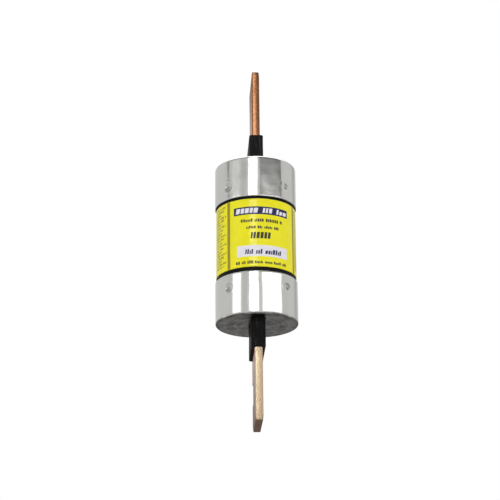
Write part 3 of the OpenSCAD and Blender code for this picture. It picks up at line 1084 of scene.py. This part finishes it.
def laminate_material():
    """Black filament-wound tube: the weave of its plies shows faintly under the resin."""
    material, graph, shader = new_material("wound_laminate")
    ply_a = graph.noise(1.0, 2, 0.5, (900, 900, 2400))
    ply_b = graph.noise(1.0, 2, 0.5, (2400, 2400, 900))
    weave = graph.math("MULTIPLY", ply_a, ply_b)
    resin = graph.noise(260, 4)
    colour = graph.blend(weave, rgb(*RESIN_BLACK), rgb(*WEAVE_GREY))
    rough = graph.math("MULTIPLY_ADD", resin, 0.25, 0.30)
    normal = graph.bump(weave, 0.02 * MM)
    finish_shader(graph, shader, colour, rough, normal, Specular_IOR_Level=BLACK_SPECULAR)
    return material


def sand_material():
    """Bound quartz sand: pale grains of mixed tints with dark gaps between them."""
    material, graph, shader = new_material("bound_sand")
    grains = graph.cells(2600, output="Color")
    gaps = graph.cells(2600)
    tint = graph.blend(0.25, rgb(*SAND_PALE), grains)
    colour = graph.blend(graph.step(gaps, 0.35, 0.75), tint, rgb(*SAND_GAP))
    finish_shader(graph, shader, colour, 0.75, graph.bump(gaps, 0.15 * MM, -1.0))
    return material


def alloy_material():
    """Dull solder with a frosted skin."""
    material, graph, shader = new_material("fusing_alloy")
    frost = graph.noise(900, 5, 0.7)
    colour = graph.blend(frost, rgb(*ALLOY_BRIGHT), rgb(*ALLOY_FROST))
    rough = graph.math("MULTIPLY_ADD", frost, 0.3, 0.25)
    finish_shader(graph, shader, colour, rough, graph.bump(frost, 0.03 * MM), Metallic=1.0)
    return material


# ---------------------------------------------------------------- CAD nodes that stay

SOFT_EDGE = 0.12 * MM
SOFT_EDGE_ANGLE = 40


def dress(names, material, edge=0.0):
    """Gives CAD nodes a material, and takes their sharp edges off with a small chamfer."""
    for name in names:
        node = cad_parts[name]
        node.data.materials.clear()
        node.data.materials.append(material)
        if edge:
            chamfer = node.modifiers.new("soft_edges", "BEVEL")
            chamfer.width = edge
            chamfer.segments = 2
            chamfer.limit_method = "ANGLE"
            chamfer.angle_limit = math.radians(SOFT_EDGE_ANGLE)


def dress_cad_nodes():
    brass = machined_metal(*METALS["block"])
    drawn_brass = machined_metal(*METALS["trigger"])
    steel = machined_metal(*METALS["pins"])
    copper = machined_metal(*METALS["strips"])
    red = fibre_material("red_fibre", *RED_FIBRE)
    buff = fibre_material("buff_fibre", *BUFF_FIBRE)
    dress(["body_tube"], laminate_material())
    dress(["upper_cap_pins", "lower_cap_pins"], steel)
    dress(["upper_terminal_pins", "lower_terminal_pins"], steel)
    dress(["upper_terminal_block", "lower_terminal_block", "filler_plug"], brass, SOFT_EDGE)
    dress(["trigger_plunger", "contact_tube"], drawn_brass, SOFT_EDGE)
    dress(["left_element_strip", "centre_element_strip", "right_element_strip"], copper)
    dress(["strip_bridge", "heat_absorber"], copper, SOFT_EDGE)
    dress(["upper_sealing_washer", "lower_sealing_washer"], red)
    dress(["barrier_disc", "chamber_spacer"], red)
    dress(["spring_seat", "trigger_washer"], buff, SOFT_EDGE)
    dress(["sand_filler"], sand_material())
    dress(["fusing_alloy"], alloy_material())


# ---------------------------------------------------------------- everything


def build():
    bpy.context.scene.view_settings.view_transform = "Standard"
    make_camera()
    make_world()
    make_floor()
    dress_cad_nodes()
    plating = plating_material()
    make_cap("upper_cap", True, 0.6, plating)
    make_cap("lower_cap", False, 2.3, plating)
    make_label(label_material())
    make_printing()
    black = sleeve_material()
    make_sleeve("upper_blade_sleeve", True, 0.4, black)
    make_sleeve("lower_blade_sleeve", False, 1.7, black)
    make_blade("upper_blade", True, UPPER_CROWN, copper_material("upper_copper", UPPER_COPPER))
    make_blade("lower_blade", False, LOWER_CROWN, copper_material("lower_copper", LOWER_COPPER))
    make_spring(machined_metal(*METALS["spring"]))


build()
